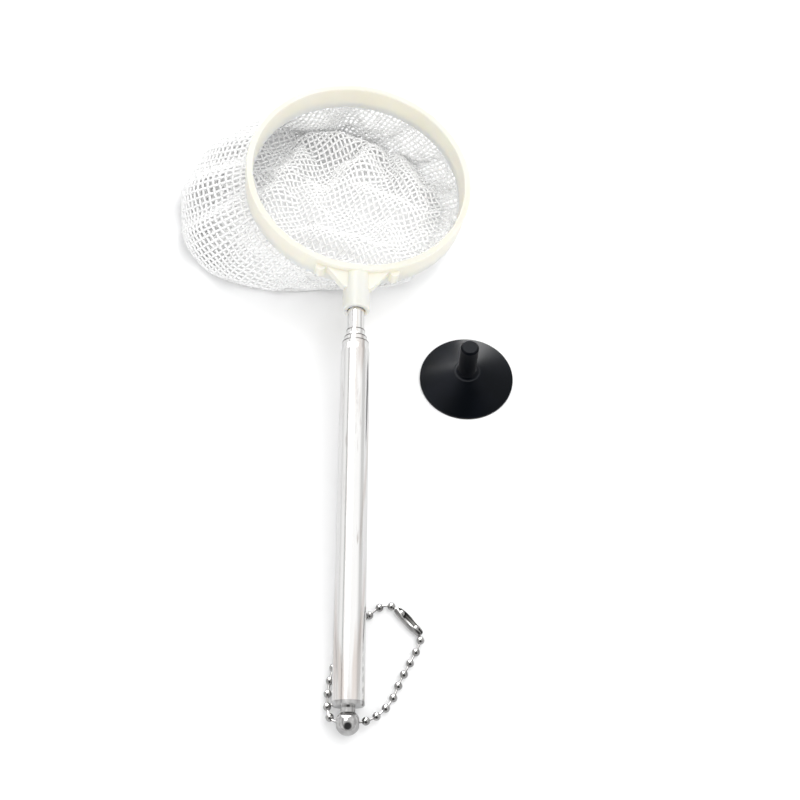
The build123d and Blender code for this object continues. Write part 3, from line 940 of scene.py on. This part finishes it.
# %% Yarns of the base
BASE_SLACK = 0.12
BASE_TURN = math.radians(24)
BASE_PITCH = MESH_PITCH / (1 + BASE_SLACK)
BASE_SPAN = 70.0
SHIFT = 0.45


def shifted(x, y):
    """A place on the flat cut, shifted as soft mesh is, by a fraction of its pitch."""
    return x + SHIFT * math.sin(0.42 * y + 0.23 * x), y + SHIFT * math.sin(0.37 * x - 0.29 * y)


def base_yarns():
    """Two sets of nearly straight lines on the flat cut, carried to where the base lies."""
    lines = []
    count = int(BASE_SPAN / BASE_PITCH)
    for side_up, heading in ((1, BASE_TURN), (-1, BASE_TURN + math.pi / 2)):
        way = np.array((math.cos(heading), math.sin(heading)))
        side = np.array((-way[1], way[0]))
        for index in range(-count, count + 1):
            start = np.array(EDGE_MIDDLE) + side * index * BASE_PITCH
            run = []
            for half in range(-count * HALF_STEPS, count * HALF_STEPS + 1):
                flat = start + way * half * BASE_PITCH / HALF_STEPS
                place = base_point(*shifted(*flat), side_up * weave(half, index))
                if place is not None:
                    run.append(place)
            if len(run) > 1:
                lines.append(run)
    return lines


base_lines = base_yarns()
print("yarns in the base:", len(base_lines))

# %% A tube on every yarn
YARN_RADIUS = 0.48 * MM
YARN_SIDES = 5
yarn_tree, given, yarn_line = geometry_tree("yarn_tubes", Yarn_Radius="Float", Sides="Int")
close_tree(yarn_tree, given, tube_on(yarn_tree, yarn_line, given.out("Yarn Radius"), given.out("Sides")))
yarn_sizes = {"Yarn_Radius": YARN_RADIUS, "Sides": YARN_SIDES, "Material": net_yarn.material}
net_wall = grow("net_wall", in_frame(wall_lines), yarn_tree, **yarn_sizes)
net_base = grow("net_base", in_frame(base_lines), yarn_tree, **yarn_sizes)

# %% [markdown]
# ## Hem and seam
#
# Along the hoop the netting is turned over into a narrow hem, which is pushed up into the groove, so
# only its lower edge shows. Along the front of the lobe the edge is bound with a cord of overlock
# stitches. Both follow sample points again: the hem the first row, the binding the edge row. The
# stitches are one short thread that a second tree repeats along the line.

# %% Hem in its groove
HEM_SECTION = [(-0.45, -0.55), (0.45, -0.55), (0.5, 0.0), (0.5, 2.1), (-0.5, 2.1), (-0.5, 0.0)]
HEM_BOTTOM = -5.0
HEM_STEPS = 180
PUCKER = 0.10
PUCKERS = 76


def hem_ring(turn):
    """The band's section in one direction, with its lower edge puckered by the yarns that it holds."""
    points = []
    for across, up in HEM_SECTION:
        pucker = PUCKER * math.sin(turn * PUCKERS) if up < 0 else 0
        place = round_point(HEM_RADIUS + across * (1 + pucker), turn, HEM_BOTTOM + up + pucker)
        points.append(on_table(*(HEAD_FRAME @ Vector(place))))
    return points


hem_rings = [hem_ring(turn) for turn in turns_of(HEM_STEPS)]
hem = add_object("hem", rows_mesh("hem", hem_rings, closed_rows=True, closed_columns=True))
hem.data.materials.append(binding_yarn.material)
print("hem has", len(hem.data.polygons), "faces")

# %% Binding along the front of the lobe
SEAM_FROM = math.radians(176)
SEAM_TO = math.radians(292)
SEAM_STEPS = 90
SEAM_RADIUS = 0.9
SEAM_OUT = 0.8
SEAM_CLEARANCE = 0.12
STITCH_PITCH = 1.15
STITCH_LEAN = math.radians(28)
STITCH_FULLNESS = (1.06, 1.12, 1.06)
THREAD_RADIUS = 0.16

seam_line = []
for step in range(SEAM_STEPS + 1):
    turn = SEAM_FROM + (SEAM_TO - SEAM_FROM) * step / SEAM_STEPS
    place = wall_point(turn, 1.0)
    lift = max(0.0, SEAM_RADIUS + SEAM_CLEARANCE - place[2])
    outward = np.array(round_point(1.0, turn, 0.0))
    seam_line.append(place + outward * SEAM_OUT + np.array((0, 0, lift)))

seam_tree, given, seam_curve = geometry_tree(
    "bound_seam", Seam_Radius="Float", Stitch_Pitch="Float", Thread_Radius="Float"
)
cord_tube = tube_on(seam_tree, seam_curve, given.out("Seam Radius"), 10)
stitch_loop = circle(seam_tree, given.out("Seam Radius"), 12)
stitch = tube_on(seam_tree, stitch_loop, given.out("Thread Radius"), 5, caps=False)
leaning = seam_tree.node("GeometryNodeTransform", inputs={
    "Geometry": stitch, "Rotation": (STITCH_LEAN, 0.0, 0.0), "Scale": STITCH_FULLNESS,
})
stitches = repeat_on(seam_tree, seam_curve, given.out("Stitch Pitch"), leaning)
close_tree(seam_tree, given, cord_tube, stitches)
seam = grow(
    "bound_seam", in_frame([seam_line]), seam_tree, Seam_Radius=SEAM_RADIUS * MM,
    Stitch_Pitch=STITCH_PITCH * MM, Thread_Radius=THREAD_RADIUS * MM, Material=binding_yarn.material,
)

# %% The bag rides on the head
for piece in (net_wall, net_base, hem, seam):
    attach(piece, "head")
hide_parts("net_bag")
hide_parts("net_bag")
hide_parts("bag_hem")
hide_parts("bag_seam")

# %% [markdown]
# ## Table, light and surroundings
#
# The net lies on a white table in a light tent. The table is a matt disc that keeps the shadows. The
# room gives matt pieces nearly even light, with a little more from the front, and a wide key lamp
# stands above on the right. A back lamp lights only the bag and the table, and the bag's base doesn't
# shade it, because real yarn lets some light through. A weak fill lamp is for the bag alone. Light
# linking does that, with a collection of pieces for each.
#
# Polished pieces show their surroundings as they are, so rays that come from a reflection see another
# room: white all round and whiter overhead, with a dark strip and grey sides that draw the long lines
# on the tubes, a small window, a bright patch behind that lights the far side of the rubber cup, and a
# dark patch where the camera hangs. That one turns the front of the cup black and gives the beads and
# the ball their dark spots. A reflection also has a greyer table and no cup, because the picture shows
# none in the tube. Rays from the camera see plain white, so the table can be a disc: where it ends,
# the picture is as white as the lit table.

# %% Table
TABLE_RADIUS = 0.45
TABLE_SIDES = 96
TABLE_COLOUR = (0.96, 0.962, 0.965)
MIRRORED_TABLE_COLOUR = (0.74, 0.742, 0.75)
table_edge = [round_point(TABLE_RADIUS, turn, 0) for turn in turns_of(TABLE_SIDES)]
table_mesh = bpy.data.meshes.new("table")
table_mesh.from_pydata(table_edge, [], [tuple(range(TABLE_SIDES))])
table = add_object("table", table_mesh)
table_white = Finish("table_white", Specular_IOR_Level=0.15, Roughness=0.7)
in_metal = table_white.node("ShaderNodeLightPath", output="Is Glossy Ray")
table_white.connect(Base_Color=table_white.tint(in_metal, TABLE_COLOUR, MIRRORED_TABLE_COLOUR))
table_mesh.materials.append(table_white.material)
print("table is", table.dimensions.x, "m wide")

# %% Directions in the surroundings
world = bpy.data.worlds.new("white_room")
scene.world = world
world.use_nodes = True
tree = Tree(world.node_tree)
heading = tree.node("ShaderNodeTexCoord", output="Generated")
parts = tree.node("ShaderNodeSeparateXYZ", inputs={"Vector": heading})
height = parts.out("Z")
around = tree.node("ShaderNodeMath", {"operation": "ARCTAN2"}, {0: parts.out("X"), 1: height})


def patch(way, outer, inner):
    """A round patch of the surroundings, from the cosine of its outer angle to that of its inner one."""
    return tree.ramp(tree.along(heading, Vector(way).normalized()), outer, inner)


def side_from(first, second):
    """All that lies further round to the right than two angles from overhead, in degrees."""
    return tree.ramp(around, math.radians(first), math.radians(second))


def band(start, end):
    """A band of the surroundings that runs along the handle, between two soft sides."""
    return side_from(*start) * (1 - side_from(*end))


window = patch((-0.25, 0.35, 0.90), 0.962, 0.978)
camera_patch = patch((0.05, -0.66, 0.75), 0.68, 0.90)
back_light = patch((-0.15, 0.93, 0.34), 0.78, 0.97)
dark_strip = band((-53, -48), (-46, -41))
ceiling = band((-42, -34), (44, 60))
right_side = band((58, 66), (92, 110))
left_side = 1 - side_from(-88, -66)
print("patches and bands took", len(world.node_tree.nodes), "nodes")

# %% Light from the surroundings
from_above = tree.ramp(height, -0.1, 0.9)
from_front = tree.ramp(parts.out("Y") * -1, -0.2, 0.8)
room_light = 0.54 + from_above * 0.05 + from_front * 0.48
walls = (1 - dark_strip * 0.62) * (1 - right_side * 0.3) * (1 - left_side * 0.22) + ceiling * 0.14
seen_in_metal = walls * (1 - camera_patch * 0.95) + window * 5.0 + back_light * 14.0
path = tree.node("ShaderNodeLightPath")
mirrored = path.out("Is Glossy Ray")
straight = path.out("Is Camera Ray")
seen = mirrored * seen_in_metal + (1 - mirrored) * room_light
background = world.node_tree.nodes["Background"]
background.inputs["Color"].default_value = (1.0, 1.0, 1.0, 1.0)
tree.link(straight + (1 - straight) * seen, background.inputs["Strength"])
print("surroundings have", len(world.node_tree.nodes), "nodes")

# %% Lamps
HANDLE_TARGET = (0.0, 0.03, 0.0)
BAG_TARGET = (0.0, 0.07, 0.0)


def soft_lamp(name, place, target, size, power):
    """A square area lamp that points at a place and isn't seen in polished pieces."""
    lamp_data = bpy.data.lights.new(name, "AREA")
    set_all(lamp_data, {"size": size, "energy": power})
    lamp = add_object(name, lamp_data)
    lamp.location = place
    lamp.rotation_euler = (Vector(target) - Vector(place)).to_track_quat("-Z", "Y").to_euler()
    lamp.visible_glossy = False
    return lamp


def lamp_group(name, *pieces):
    """A collection of the pieces that a lamp lights or that stand in its way."""
    group = bpy.data.collections.new(name)
    for piece in pieces:
        group.objects.link(piece)
    return group


soft_lamp("key_lamp", (0.42, 0.06, 0.95), HANDLE_TARGET, size=0.8, power=4.2)
back_lamp = soft_lamp("back_lamp", (0.38, 0.50, 0.75), BAG_TARGET, size=0.5, power=2.4)
fill_lamp = soft_lamp("fill_lamp", (-0.35, -0.35, 0.80), BAG_TARGET, size=0.8, power=2.0)
lit_by_back = lamp_group("lit_by_back_lamp", net_wall, net_base, hem, seam, table)
shades_back = lamp_group("shades_back_lamp", nodes["ring_frame"], net_wall, hem, seam)
back_lamp.light_linking.receiver_collection = lit_by_back
back_lamp.light_linking.blocker_collection = shades_back
fill_lamp.light_linking.receiver_collection = lamp_group("lit_by_fill_lamp", net_wall, net_base, hem, seam)
nodes["suction_cup"].visible_glossy = False
print("lamps:", [lamp.name for lamp in bpy.data.lights])

# %% Picture settings
scene.view_settings.view_transform = "Standard"
